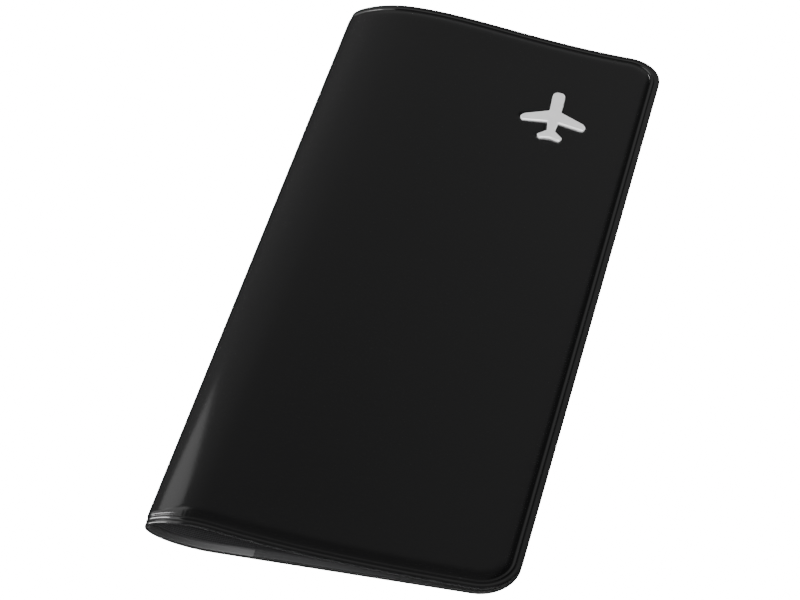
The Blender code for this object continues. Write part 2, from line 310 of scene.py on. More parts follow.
@dataclass
class FlatSheet:
    """A sheet laid out flat, as a mesh of quads.

    Attributes:
        inward: distance of each point from the sheet's fore-edge.
        y: place of each point along the wallet, from the sheet's middle.
        edge: distance of each point in from the nearest of the three welded edges.
        around: distance of each point round those edges.
        quads: corners of each face, counter-clockwise in (inward, y).
        border: the points of the whole outline in order.
    """

    inward: np.ndarray
    y: np.ndarray
    edge: np.ndarray
    around: np.ndarray
    quads: np.ndarray
    border: np.ndarray


@dataclass(frozen=True)
class Tongue:
    """Pattern of a sheet with three welded edges, two rounded corners and one straight cut.

    Its rim is a band of rings that follow the welded edges, and its middle is a grid that the band meets
    point by point. Each half of a side's corner zone gives the rounded corner and the grid the same number
    of lines.
    """

    reach: float
    half_width: float
    corner: float = CORNER_RADIUS
    rings: Sequence[float] = (0.0, 2.5, 5.0)
    band: float = 9.0 * MM
    zone: float = 15.0 * MM
    spacing: float = 1.25 * MM
    bend: float = 32.0 * MM
    bend_spacing: float = 0.55 * MM
    corner_lines: int = 16
    band_rows: int = 4
    last_lines: tuple = (0.45, 0.15)
    dense_inward: tuple = (0.0, 0.0)
    dense_across: tuple = (0.0, 0.0)

    @staticmethod
    def halved(lines: np.ndarray, dense: tuple) -> np.ndarray:
        """The lines with one more half-way between each two that lie in the dense stretch.

        Args:
            lines: places of the lines, in order.
            dense: start and end of the stretch.

        Returns:
            All the lines, in order.
        """
        middles = (lines[1:] + lines[:-1]) / 2.0
        inside = (lines[:-1] >= dense[0]) & (lines[1:] <= dense[1])
        return np.sort(np.concatenate([lines, middles[inside]]))

    def lines_inward(self) -> np.ndarray:
        """Distances of the grid's lines from the fore-edge: close in the corner zone and on the bend.

        Returns:
            The distances, in order.
        """
        bend_start = max(self.reach - self.bend, self.zone + self.spacing)
        corner = np.linspace(self.band, self.zone, self.corner_lines + 1)
        flat = np.linspace(self.zone, bend_start, max(2, round((bend_start - self.zone) / self.spacing)))
        bend_count = max(3, round((self.reach - bend_start) / self.bend_spacing))
        bend = np.linspace(bend_start, self.reach, bend_count)
        last = self.reach - self.bend_spacing * np.array(self.last_lines)
        lines = np.concatenate([corner[:-1], flat[:-1], bend[:-1], last, [self.reach]])
        return self.halved(lines, self.dense_inward)

    def lines_across(self) -> np.ndarray:
        """Places of the grid's lines along the wallet, close together in the two corner zones.

        Returns:
            The places, in order.
        """
        end = self.half_width - self.band
        corner = np.linspace(-end, self.zone - self.half_width, self.corner_lines + 1)
        middle_end = self.half_width - self.zone
        count = max(3, round(2.0 * middle_end / self.spacing))
        middle = np.linspace(-middle_end, middle_end, count)
        return self.halved(np.concatenate([corner[:-1], middle, -corner[:-1][::-1]]), self.dense_across)

    def edge_path(self, inward: np.ndarray, across: np.ndarray) -> tuple:
        """The welded edge from the cut's near end round to its far end.

        A straight side keeps the grid's lines outside the corner zones. In a zone, half of the lines share
        the straight part evenly and half share an eighth turn of the rounded corner.

        Args:
            inward: the grid's lines from the fore-edge.
            across: the grid's lines along the wallet.

        Returns:
            Points (inward, y) on the edge and the unit directions from them into the sheet.
        """
        half = self.corner_lines // 2
        straight = np.linspace(self.zone, self.corner, half + 1)
        side = np.concatenate([inward[:self.corner_lines:-1], straight])
        near_side = np.stack([side, np.full_like(side, -self.half_width)], axis=1)
        turn = np.linspace(-0.5 * np.pi, -np.pi, 2 * half + 1)[1:-1]
        outwards = np.stack([np.cos(turn), np.sin(turn)], axis=1)
        centre = np.array([self.corner, self.corner - self.half_width])
        near_corner = centre + self.corner * outwards
        fore = np.concatenate([
            straight[::-1] - self.half_width,
            across[self.corner_lines + 1:-self.corner_lines - 1],
            self.half_width - straight,
        ])
        fore_edge = np.stack([np.zeros_like(fore), fore], axis=1)
        mirror = np.array([1.0, -1.0])
        path = np.concatenate([near_side, near_corner, fore_edge,
                               near_corner[::-1] * mirror, near_side[::-1] * mirror])
        into = np.concatenate([
            np.tile([0.0, 1.0], (len(near_side), 1)), -outwards,
            np.tile([1.0, 0.0], (len(fore_edge), 1)), -outwards[::-1] * mirror,
            np.tile([0.0, -1.0], (len(near_side), 1)),
        ])
        return path, into

    def lay_out(self) -> FlatSheet:
        """Make the flat mesh: rings at set distances from the edge, rows that join them to the grid, a grid.

        Returns:
            The sheet laid out flat.
        """
        inward, across = self.lines_inward(), self.lines_across()
        path, into = self.edge_path(inward, across)
        grid = np.stack(np.meshgrid(inward, across, indexing="ij"), axis=-1)
        rows, columns = grid.shape[:2]
        numbers = np.arange(rows * columns).reshape(rows, columns)
        grid_edge = np.concatenate([numbers[::-1, 0], numbers[0, 1:], numbers[1:, -1]])
        rings = np.array(self.rings) * MM
        bands = path[None] + rings[:, None, None] * into[None]
        share = np.linspace(0.0, 1.0, self.band_rows + 1)[1:-1, None, None]
        joins = bands[-1] + share * (grid.reshape(-1, 2)[grid_edge] - bands[-1])
        band = np.concatenate([bands, joins])
        count = len(path)
        ring_numbers = np.arange(band.shape[0] * count).reshape(band.shape[0], count)
        whole = np.concatenate([ring_numbers, grid_edge[None] + ring_numbers.size])
        strip = np.stack([whole[:-1, :-1], whole[:-1, 1:], whole[1:, 1:], whole[1:, :-1]], axis=-1)
        cells = numbers + ring_numbers.size
        middle = np.stack([cells[:-1, :-1], cells[1:, :-1], cells[1:, 1:], cells[:-1, 1:]], axis=-1)
        places = np.concatenate([band.reshape(-1, 2), grid.reshape(-1, 2)])
        travelled = np.concatenate([[0.0], np.cumsum(np.hypot(*np.diff(path, axis=0).T))])
        around = np.concatenate([np.tile(travelled, band.shape[0]), grid[..., 1].ravel()])
        border = np.concatenate([whole[0], whole[1:, -1], cells[-1, -2:0:-1], whole[:0:-1, 0]])
        strip_quads = strip.reshape(-1, 4)[:, ::-1]
        quads = np.concatenate([strip_quads, middle.reshape(-1, 4)])
        edge = self.distance_from_edge(places)
        return FlatSheet(places[:, 0], places[:, 1], edge, around, quads, border)

    def distance_from_edge(self, places: np.ndarray) -> np.ndarray:
        """Distance in from the welded edges: to the nearest side, or to the rounded corner's arc.

        Args:
            places: points (inward, y).

        Returns:
            One distance a point.
        """
        from_fore = places[:, 0]
        from_end = self.half_width - np.abs(places[:, 1])
        in_corner = (from_fore < self.corner) & (from_end < self.corner)
        to_arc = self.corner - np.hypot(self.corner - from_fore, self.corner - from_end)
        return np.maximum(np.where(in_corner, to_arc, np.minimum(from_fore, from_end)), 0.0)


# --- Meshes ---------------------------------------------------------------------------------------


def make_piece(name: str, points: np.ndarray, loops: np.ndarray, sizes: np.ndarray,
               material: bpy.types.Material, maps: Optional[dict] = None,
               sharp_angle: float = 42.0) -> bpy.types.Object:
    """Put whole arrays into a new mesh object at the origin.

    Args:
        name: the piece's name.
        points: its points, one row each.
        loops: the corners of all faces, one after another.
        sizes: how many corners each face has.
        material: its finish.
        maps: values (u, v) of each point for each named UV map.
        sharp_angle: angle in degrees past which an edge is creased.

    Returns:
        The new object.
    """
    mesh = bpy.data.meshes.new(name)
    mesh.vertices.add(len(points))
    mesh.vertices.foreach_set("co", np.ascontiguousarray(points, dtype=np.float32).ravel())
    mesh.loops.add(len(loops))
    mesh.loops.foreach_set("vertex_index", loops.astype(np.int32))
    mesh.polygons.add(len(sizes))
    starts = np.concatenate([[0], np.cumsum(sizes)[:-1]]).astype(np.int32)
    mesh.polygons.foreach_set("loop_start", starts)
    mesh.update(calc_edges=True)
    for map_name, values in (maps or {}).items():
        layer = mesh.uv_layers.new(name=map_name)
        layer.uv.foreach_set("vector", values[loops].astype(np.float32).ravel())
    mesh.validate()
    mesh.shade_smooth()
    mesh.polygons.foreach_set("use_smooth", sizes == 4)
    mesh.set_sharp_from_angle(angle=np.radians(sharp_angle))
    mesh.materials.append(material)
    piece = bpy.data.objects.new(name, mesh)
    bpy.context.scene.collection.objects.link(piece)
    return piece


def close_rings(rings: np.ndarray) -> tuple:
    """Join rings of points by walls, and close the first and the last ring by a flat face.

    Args:
        rings: points (x, y, z) by ring and by place in the ring.

    Returns:
        Points, face corners and face sizes.
    """
    points = rings.reshape(-1, 3)
    numbers = np.arange(len(points)).reshape(rings.shape[:2])
    following = np.roll(numbers, -1, axis=1)
    walls = np.stack([numbers[:-1], following[:-1], following[1:], numbers[1:]], axis=-1).reshape(-1, 4)
    loops = np.concatenate([walls.ravel(), numbers[-1], numbers[0][::-1]])
    return points, loops, np.concatenate([np.full(len(walls), 4), np.full(2, rings.shape[1])])


@dataclass
class WrappedSheet:
    """A flat sheet wrapped on the outline of one cover, as a closed shell with its own thickness."""

    outline: FoldedOutline
    cover: Cover
    pattern: Tongue
    outer_lift: Callable[[FlatSheet], np.ndarray]
    inner_lift: Callable[[FlatSheet], np.ndarray]
    from_fore_edge: float = 0.0
    centre_y: float = 0.0

    def build(self, name: str, material: bpy.types.Material) -> bpy.types.Object:
        """Wrap both faces of the sheet and close them along its border.

        Args:
            name: the piece's name.
            material: its finish.

        Returns:
            The new object, with a UV map "rim" of the distances round and in from the welded edge, and a map
            "cloth" of the place on the flat sheet.
        """
        flat = self.pattern.lay_out()
        inward = flat.inward + self.from_fore_edge
        distance = self.outline.inward(self.cover, inward)
        y = flat.y + self.centre_y
        outer = self.outline.wrap(distance, y, self.outer_lift(flat))
        inner = self.outline.wrap(distance, y, self.inner_lift(flat))
        count = len(outer)
        following = np.roll(flat.border, -1)
        wall = np.stack([flat.border, following, following + count, flat.border + count], axis=1)
        quads = np.concatenate([flat.quads, flat.quads[:, ::-1] + count, wall])
        if self.cover is Cover.FRONT:
            quads = quads[:, ::-1]
        rim = np.stack([flat.around, flat.edge], axis=1)
        cloth = np.stack([flat.inward, flat.y], axis=1)
        maps = {"cloth": np.tile(cloth, (2, 1)), "rim": np.tile(rim, (2, 1))}
        sizes = np.full(len(quads), 4)
        return make_piece(name, np.concatenate([outer, inner]), quads.ravel(), sizes, material, maps)


# --- Shader maths ---------------------------------------------------------------------------------


@dataclass(frozen=True)
class Signal:
    """One value on its way through a node tree; arithmetic on it adds Math nodes."""

    recipe: "Recipe"
    socket: bpy.types.NodeSocket

    def math(self, operation: str, *values: object) -> "Signal":
        """Add a Math node on given values."""
        return self.recipe.node("ShaderNodeMath", {"operation": operation}, dict(enumerate(values)))

    def __add__(self, other: object) -> "Signal":
        """Sum of two values."""
        return self.math("ADD", self, other)

    def __radd__(self, other: object) -> "Signal":
        """Sum with the number first."""
        return self.math("ADD", other, self)

    def __sub__(self, other: object) -> "Signal":
        """Difference of two values."""
        return self.math("SUBTRACT", self, other)

    def __rsub__(self, other: object) -> "Signal":
        """Difference with the number first."""
        return self.math("SUBTRACT", other, self)

    def __mul__(self, other: object) -> "Signal":
        """Product of two values."""
        return self.math("MULTIPLY", self, other)

    def __rmul__(self, other: object) -> "Signal":
        """Product with the number first."""
        return self.math("MULTIPLY", other, self)

    def sine(self) -> "Signal":
        """Sine of a value in radians."""
        return self.math("SINE", self)

    def ramp(self, start: float, end: float) -> "Signal":
        """Rise smoothly from 0 at start to 1 at end."""
        return self.recipe.node("ShaderNodeMapRange", {"interpolation_type": "SMOOTHSTEP"},
                                {"Value": self, "From Min": start, "From Max": end})

    def band(self, start: float, end: float, fade: float) -> "Signal":
        """1 between start and end, fading to 0 outside them."""
        return self.ramp(start - fade, start) * (1.0 - self.ramp(end, end + fade))


class Recipe:
    """The node tree of one finish."""

    def __init__(self, name: str, shader_settings: dict) -> None:
        """Start a material with one Principled shader.

        Args:
            name: the material's name.
            shader_settings: values of the shader's own sockets that are the same all over the surface.
        """
        self.material = bpy.data.materials.new(name)
        self.material.use_nodes = True
        self.tree = self.material.node_tree
        self.shader = self.tree.nodes["Principled BSDF"]
        for socket, value in shader_settings.items():
            self.shader.inputs[socket].default_value = value

    @classmethod
    def on_tree(cls, tree: bpy.types.NodeTree, shader: bpy.types.Node) -> "Recipe":
        """A recipe on a node tree that is there already, such as the surroundings' own.

        Args:
            tree: the node tree.
            shader: the node that the recipe feeds.

        Returns:
            The recipe.
        """
        recipe = cls.__new__(cls)
        recipe.material, recipe.tree, recipe.shader = None, tree, shader
        return recipe

    def node(self, kind: str, settings: dict, sockets: dict, output: object = 0) -> Signal:
        """Add a node.

        Args:
            kind: the node's type.
            settings: its properties, which are set first.
            sockets: values or Signals for its inputs, by name or number.
            output: name or number of the output that goes on.

        Returns:
            The output as a Signal.
        """
        added = self.tree.nodes.new(kind)
        for name, value in settings.items():
            setattr(added, name, value)
        for key, value in sockets.items():
            socket = self.find(added.inputs, key)
            if isinstance(value, Signal):
                self.tree.links.new(value.socket, socket)
            else:
                socket.default_value = value
        return Signal(self, self.find(added.outputs, output))

    @staticmethod
    def find(sockets: Sequence, key: object) -> bpy.types.NodeSocket:
        """The socket in use that has a name or number."""
        if isinstance(key, int):
            return sockets[key]
        return next(socket for socket in sockets if socket.enabled and key == socket.name)

    def place(self) -> Signal:
        """Object coordinates."""
        return self.node("ShaderNodeTexCoord", {}, {}, "Object")

    def on_map(self, name: str) -> Signal:
        """Coordinates of one of the piece's UV maps."""
        return self.node("ShaderNodeUVMap", {"uv_map": name}, {})

    def stretched(self, vector: Signal, scale: tuple) -> Signal:
        """Coordinates times a scale for each axis."""
        return self.node("ShaderNodeMapping", {}, {"Vector": vector, "Scale": scale})

    def part(self, vector: Signal, axis: str) -> Signal:
        """One part of a vector."""
        return self.node("ShaderNodeSeparateXYZ", {}, {0: vector}, axis)

    def noise(self, vector: Signal, scale: float, detail: float = 2.0) -> Signal:
        """Smooth noise from 0 to 1, so many cells to the metre."""
        return self.node("ShaderNodeTexNoise", {"noise_dimensions": "3D"},
                         {"Vector": vector, "Scale": scale, "Detail": detail}, "Fac")

    def mix(self, share: Signal, first: object, second: object) -> Signal:
        """Colour between two, each a Signal or a plain colour, by share."""
        first, second = (end if isinstance(end, Signal) else (*end, 1.0) for end in (first, second))
        return self.node("ShaderNodeMix", {"data_type": "RGBA"},
                         {"Factor": share, "A": first, "B": second}, "Result")

    def with_dark_cut(self, edge: Signal, colour: Signal) -> Signal:
        """A sheet's colour, dark on the cut itself, by the distance in from the cut."""
        return self.mix(1.0 - edge.ramp(*CUT_FADE), colour, CUT_COLOUR)

    def relief(self, height: Signal, depth: float) -> None:
        """Carve a height from 0 to 1 into the surface, so many metres deep."""
        self.feed("Normal", self.node("ShaderNodeBump", {}, {"Distance": depth, "Height": height}, "Normal"))

    def feed(self, socket: str, signal: Signal) -> None:
        """Link a value to one of the shader's sockets."""
        self.tree.links.new(signal.socket, self.shader.inputs[socket])


# --- Finishes -------------------------------------------------------------------------------------


@dataclass(frozen=True)
class GlossSkin:
    """Black soft-gloss sheet: a fine orange peel, a shinier pressed weld and puckers beside the weld."""

    colour: tuple = (0.0018, 0.0018, 0.0019)
    worn_colour: tuple = (0.004, 0.004, 0.0041)
    roughness: float = 0.16
    weld_roughness: float = 0.09
    coat: float = 0.12
    weld_coat: float = 0.5
    weld_fade: tuple = (2.4 * MM, 3.0 * MM)
    peel_size: float = 0.9 * MM
    pucker_length: float = 1.15 * MM
    pucker_band: tuple = (3.0 * MM, 3.9 * MM, 1.1 * MM)
    wander: float = 5.0
    cloud_scale: float = 45.0
    rub_scale: float = 260.0
    wander_scale: float = 420.0
    patch_scale: float = 60.0
    cloud_roughness: float = 0.07
    rub_roughness: float = 0.12
    rub_reach: float = 0.5 * MM
    depth: float = 0.06 * MM

    def make(self) -> bpy.types.Material:
        """Write the finish's node tree and return its material.

        Returns:
            The material.
        """
        recipe = Recipe("gloss_skin", {"IOR": 1.5, "Coat Roughness": 0.1, "Coat IOR": 1.45})
        rim = recipe.on_map("rim")
        around, edge = recipe.part(rim, "X"), recipe.part(rim, "Y")
        place = recipe.place()
        weld = 1.0 - edge.ramp(*self.weld_fade)
        cloud = recipe.noise(place, self.cloud_scale, 3.0)
        rubs = recipe.noise(place, self.rub_scale, 4.0).ramp(0.42, 0.7)
        rubbed = (1.0 - edge.ramp(0.0, self.rub_reach)) * rubs
        recipe.feed("Base Color", recipe.mix(rubbed, self.colour, self.worn_colour))
        panel = self.roughness + (cloud - 0.5) * self.cloud_roughness
        pressed = panel + weld * (self.weld_roughness - self.roughness)
        recipe.feed("Roughness", pressed + rubbed * self.rub_roughness)
        recipe.feed("Coat Weight", self.coat + weld * self.weld_coat)
        peel = recipe.noise(place, 1.0 / self.peel_size, 2.0)
        turn = 2.0 * np.pi / self.pucker_length
        wander = recipe.noise(place, self.wander_scale, 1.0) * self.wander
        ripple = (around * turn + wander).sine() * 0.5
        patches = recipe.noise(place, self.patch_scale, 2.0).ramp(0.44, 0.62)
        puckers = ripple * edge.band(*self.pucker_band) * patches
        recipe.relief(peel * 0.16 + puckers * 0.2 + cloud * 0.6, self.depth)
        return recipe.material


@dataclass(frozen=True)
class GrainedLining:
    """Dark lining with a fine pressed diamond grain, plain and shiny where it is welded; the welded band
    carries painted shade that darkens it towards the fold.
    """

    colour: tuple = (0.006, 0.006, 0.0064)
    light_colour: tuple = (0.017, 0.017, 0.0178)
    weld_colour: tuple = (0.085, 0.085, 0.086)
    fold_shade_colour: tuple = (0.014, 0.014, 0.014)
    fold_shade_fade: tuple = (72.0 * MM, 101.0 * MM)
    weld_fade: tuple = (2.6 * MM, 3.1 * MM)
    weld_roughness: float = 0.30
    grain_roughness: float = 0.26
    speckle_scale: float = 900.0
    speckle_roughness: float = 0.12
    grain: float = 0.62 * MM
    depth: float = 0.07 * MM

    def make(self) -> bpy.types.Material:
        """Write the finish's node tree and return its material.

        Returns:
            The material.
        """
        recipe = Recipe("grained_lining", {"IOR": 1.48})
        cloth = recipe.on_map("cloth")
        edge = recipe.part(recipe.on_map("rim"), "Y")
        x, y = recipe.part(cloth, "X"), recipe.part(cloth, "Y")
        turn = np.pi / self.grain
        diamonds = ((x + y) * turn).sine() * ((x - y) * turn).sine()
        open_area = edge.ramp(*self.weld_fade)
        speckle = recipe.noise(cloth, self.speckle_scale, 3.0)
        tint = ((diamonds * 0.5 + 0.5) * 0.6 + speckle * 0.4) * open_area
        shade = recipe.mix(tint, self.colour, self.light_colour)
        # Painted shade: the welded band darkens from its weld colour towards the fold, standing in for the
        # shadow of the front cover's curl.
        weld = recipe.mix(x.ramp(*self.fold_shade_fade), self.weld_colour, self.fold_shade_colour)
        recipe.feed("Base Color", recipe.with_dark_cut(edge, recipe.mix(1.0 - open_area, shade, weld)))
        grained = self.weld_roughness + open_area * self.grain_roughness
        recipe.feed("Roughness", grained + (speckle - 0.5) * self.speckle_roughness)
        recipe.relief(diamonds * 0.5 * open_area + speckle * 0.25, self.depth)
        return recipe.material


@dataclass(frozen=True)
class PocketSheet:
    """Smooth dark pocket sheet with a faint haze and a few soft rub marks; its welded band carries painted
    shade that darkens it towards the fore-edge.
    """

    colour: tuple = (0.014, 0.014, 0.0145)
    rubbed_colour: tuple = (0.026, 0.026, 0.027)
    weld_colour: tuple = (0.036, 0.036, 0.037)
    fore_edge_shade_colour: tuple = (0.009, 0.009, 0.009)
    fore_edge_shade_fade: tuple = (4.0 * MM, 62.0 * MM)
    weld_fade: tuple = (2.3 * MM, 2.8 * MM)
    rub_scale: tuple = (40.0, 900.0, 1.0)
    haze_scale: float = 70.0
    peel_scale: float = 1300.0
    roughness: float = 0.36
    haze_roughness: float = 0.14
    depth: float = 0.05 * MM

    def make(self) -> bpy.types.Material:
        """Write the finish's node tree and return its material.

        Returns:
            The material.
        """
        recipe = Recipe("pocket_sheet", {"IOR": 1.5})
        cloth = recipe.on_map("cloth")
        edge = recipe.part(recipe.on_map("rim"), "Y")
        haze = recipe.noise(cloth, self.haze_scale, 4.0)
        rub = recipe.noise(recipe.stretched(cloth, self.rub_scale), 1.0, 3.0).ramp(0.55, 0.75)
        weld = 1.0 - edge.ramp(*self.weld_fade)
        shade = recipe.mix(rub * 0.5, self.colour, self.rubbed_colour)
        inward = recipe.part(cloth, "X")
        # Painted shade: the welded band darkens from its weld colour towards the fore-edge.
        pressed = recipe.mix(inward.ramp(*self.fore_edge_shade_fade), self.fore_edge_shade_colour, self.weld_colour)
        recipe.feed("Base Color", recipe.with_dark_cut(edge, recipe.mix(weld, shade, pressed)))
        hazy = self.roughness + (haze - 0.5) * self.haze_roughness
        recipe.feed("Roughness", hazy + rub * 0.1 - weld * 0.1)
        peel = recipe.noise(cloth, self.peel_scale, 2.0)
        recipe.relief(peel * 0.3 + haze * 0.5, self.depth)
        return recipe.material


@dataclass(frozen=True)
class OpenFoam:
    """Grey foam with small open cells."""

    colour: tuple = (0.035, 0.035, 0.037)
    cell_colour: tuple = (0.008, 0.008, 0.008)
    cell: float = 0.45 * MM
    wall_fade: tuple = (0.03, 0.2)
    depth: float = 0.12 * MM

    def make(self) -> bpy.types.Material:
        """Write the finish's node tree and return its material.

        Returns:
            The material.
        """
        recipe = Recipe("foam", {"Roughness": 0.95})
        cells = recipe.node("ShaderNodeTexVoronoi", {"feature": "DISTANCE_TO_EDGE"},
                            {"Vector": recipe.place(), "Scale": 1.0 / self.cell}, "Distance")
        walls = 1.0 - cells.ramp(*self.wall_fade)
        recipe.feed("Base Color", recipe.mix(walls, self.cell_colour, self.colour))
        recipe.relief(walls, self.depth)
        return recipe.material


@dataclass(frozen=True)
class SatinMetal:
    """Pale satin nickel with a very fine brushing."""

    colour: tuple = (0.97, 0.97, 0.975)
    dull_colour: tuple = (0.88, 0.88, 0.89)
    roughness: float = 0.42
    brushing: tuple = (9000.0, 500.0, 500.0)
    cloud_scale: float = 350.0
    streak_roughness: float = 0.16
    depth: float = 0.012 * MM

    def make(self) -> bpy.types.Material:
        """Write the finish's node tree and return its material.

        Returns:
            The material.
        """
        recipe = Recipe("satin_metal", {"Metallic": 0.45, "IOR": 1.6})
        place = recipe.place()
        streaks = recipe.noise(recipe.stretched(place, self.brushing), 1.0, 3.0)
        cloud = recipe.noise(place, self.cloud_scale, 3.0)
        recipe.feed("Base Color", recipe.mix(cloud, self.dull_colour, self.colour))
        recipe.feed("Roughness", self.roughness + (streaks - 0.5) * self.streak_roughness)
        recipe.relief(streaks * 0.6 + cloud * 0.4, self.depth)
        return recipe.material


@dataclass(frozen=True)
class StudioPaper:
    """Pale matt paper of the studio floor, which glows a little as a lit table does."""

    colour: tuple = (0.88, 0.88, 0.88)
    darker_share: float = 0.98
    fibre_scale: float = 60.0
    glow: float = 16.0

    def make(self) -> bpy.types.Material:
        """Write the finish's node tree and return its material.

        Returns:
            The material.
        """
        recipe = Recipe("studio_paper", {"Roughness": 0.95, "Emission Color": WHITE,
                                         "Emission Strength": self.glow})
        fibres = recipe.noise(recipe.place(), self.fibre_scale, 4.0)
        darker = tuple(self.darker_share * part for part in self.colour)
        recipe.feed("Base Color", recipe.mix(fibres, darker, self.colour))
        return recipe.material


# --- Sub-assemblies -------------------------------------------------------------------------------


@dataclass
class GlossCover:
    """The outer skin: padded inside its rim, with a pressed weld round the three free edges.

    It is two pieces that meet at the middle of the fold, so that each crosses one hinge line only.
    """

    outline: FoldedOutline
    rings: Sequence[float] = (
        0.0, 0.05, 0.12, 0.25, 0.6, 0.95, 1.1, 1.25, 1.4, 1.52, 1.64, 1.76, 1.88, 2.0, 2.12, 2.24,
        2.36, 2.48, 2.6, 2.72, 2.86, 3.02, 3.2, 3.4, 3.65, 3.95, 4.3, 4.7, 5.2,
    )
    skin: float = 0.30 * MM
    edge_round: float = 0.10 * MM
    edge_round_reach: float = 0.26 * MM
    outer_groove: tuple = (-0.07 * MM, 1.3 * MM, 0.42 * MM)
    inner_groove: tuple = (-0.10 * MM, 2.7 * MM, 0.45 * MM)
    bead: tuple = (0.12 * MM, 2.05 * MM, 0.42 * MM)
    pad_start: float = 2.9 * MM
    pad_end: float = 5.8 * MM
    fold_pad: float = 0.34 * MM
    fold_pad_end: float = 4.3 * MM
    fold_slope: float = 10.0 * MM
    weld_gap: float = 0.02 * MM
    opening: tuple = (2.9 * MM, 4.8 * MM)
    dense_inward: tuple = (14.5 * MM, 40.0 * MM)
    dense_across: tuple = (64.0 * MM, 94.0 * MM)
    dimple: Callable[[np.ndarray, np.ndarray], np.ndarray] = lambda inward, y: 0.0 * y

    def padding(self, flat: FlatSheet, cover: Cover) -> np.ndarray:
        """How far the padding lifts the skin: full on the cover, less on the fold, none on the weld.

        Args:
            flat: the sheet laid out flat.
            cover: which half.

        Returns:
            The lift of each point.
        """
        hinge = self.outline.hinge_inward(cover)
        on_fold = ease(flat.inward, hinge - self.fold_slope, hinge)
        height = PAD_RISE + (self.fold_pad - PAD_RISE) * on_fold
        end = self.pad_end + (self.fold_pad_end - self.pad_end) * on_fold
        return height * swell(flat.edge, self.pad_start, end)

    def relief(self, flat: FlatSheet) -> np.ndarray:
        """The weld's section: a rounded cut edge, then a groove, a bead and a groove, each a hump.

        Args:
            flat: the sheet laid out flat.

        Returns:
            The height of each point.
        """
        section = self.edge_round * (ease(flat.edge, 0.0, self.edge_round_reach) - 1.0)
        for height, place, reach in (self.outer_groove, self.bead, self.inner_groove):
            section += height * hump(flat.edge, place, reach)
        return section

    def unevenness(self, flat: FlatSheet) -> np.ndarray:
        """Broad shallow waves of the padding and gathers along the weld, each a product of slow sines.

        Args:
            flat: the sheet laid out flat.

        Returns:
            The height of each point.
        """
        x, y = flat.inward / MM, flat.y / MM
        broad = 0.030 * np.sin(x / 13.0 + 0.6) * np.sin(y / 21.0 + 1.1)
        broad += 0.022 * np.sin(x / 29.0 + y / 34.0)
        inside = ease(flat.edge, 5.0 * MM, 18.0 * MM)
        around = flat.around / MM
        gathers = 0.012 * np.sin(around / 1.15 + 1.3 * np.sin(around / 7.0)) * np.sin(around / 19.0 + 0.4)
        beside_weld = hump(flat.edge, 4.2 * MM, 2.4 * MM)
        return MM * (broad * inside + gathers * beside_weld)

    def build(self, cover: Cover, material: bpy.types.Material) -> bpy.types.Object:
        """Make one half of the skin.

        Args:
            cover: which half.
            material: the skin's finish.

        Returns:
            The finished piece.
        """
        outline = self.outline
        at_back = cover is Cover.BACK
        reach = outline.inward(cover, outline.seam)

        def rise(flat: FlatSheet) -> np.ndarray:
            """Lift that the padding gives: on the front also its waves and the emblem's dimple."""
            lift = self.padding(flat, cover)
            return lift if at_back else lift + self.unevenness(flat) - self.dimple(flat.inward, flat.y)

        def outer(flat: FlatSheet) -> np.ndarray:
            """Lift of the outer face, which at the back lies flat on the table."""
            lift = rise(flat) + self.relief(flat)
            return np.minimum(lift, PAD_RISE) if at_back else lift

        def inner(flat: FlatSheet) -> np.ndarray:
            """Lift of the inner face: closed on to the lining at the weld, one skin thick inside it."""
            welded = self.weld_gap - LINING_DEPTH
            return welded + (rise(flat) - self.skin - welded) * ease(flat.edge, *self.opening)

        dense = {} if at_back else {"dense_inward": self.dense_inward, "dense_across": self.dense_across}
        pattern = Tongue(reach, HALF_LENGTH, rings=self.rings, **dense)
        piece = WrappedSheet(outline, cover, pattern, outer, inner).build(f"skin_{cover.level}", material)
        bend_across_fold(piece, outline, cover)
        if at_back:
            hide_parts("outer_cover_back", "outer_cover_spine")
        else:
            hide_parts("outer_cover_front")
        return piece


def bend_across_fold(piece: bpy.types.Object, outline: FoldedOutline, cover: Cover,
                     reach: float = 3.2 * MM, margin: float = 0.35 * MM) -> None:
    """Bake a sheet's placement into its mesh; the sheet is not made to bend across the fold.

    Args:
        piece: the sheet, in place.
        outline: the folded outline.
        cover: the cover it belongs to.
        reach: distance from the hinge line of an outline point that is worked out but not used.
        margin: distance before the middle seam of a second outline point, also worked out but not used.
    """
    if cover is Cover.BACK:
        far, near = outline.lower_hinge - reach, outline.seam - margin
    else:
        far, near = outline.upper_hinge + reach, outline.seam + margin
    places = outline.points(np.array([far, near]), np.array([0.5, 0.5])).T
    if cover is Cover.BACK:
        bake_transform(piece)
    else:
        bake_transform(piece)


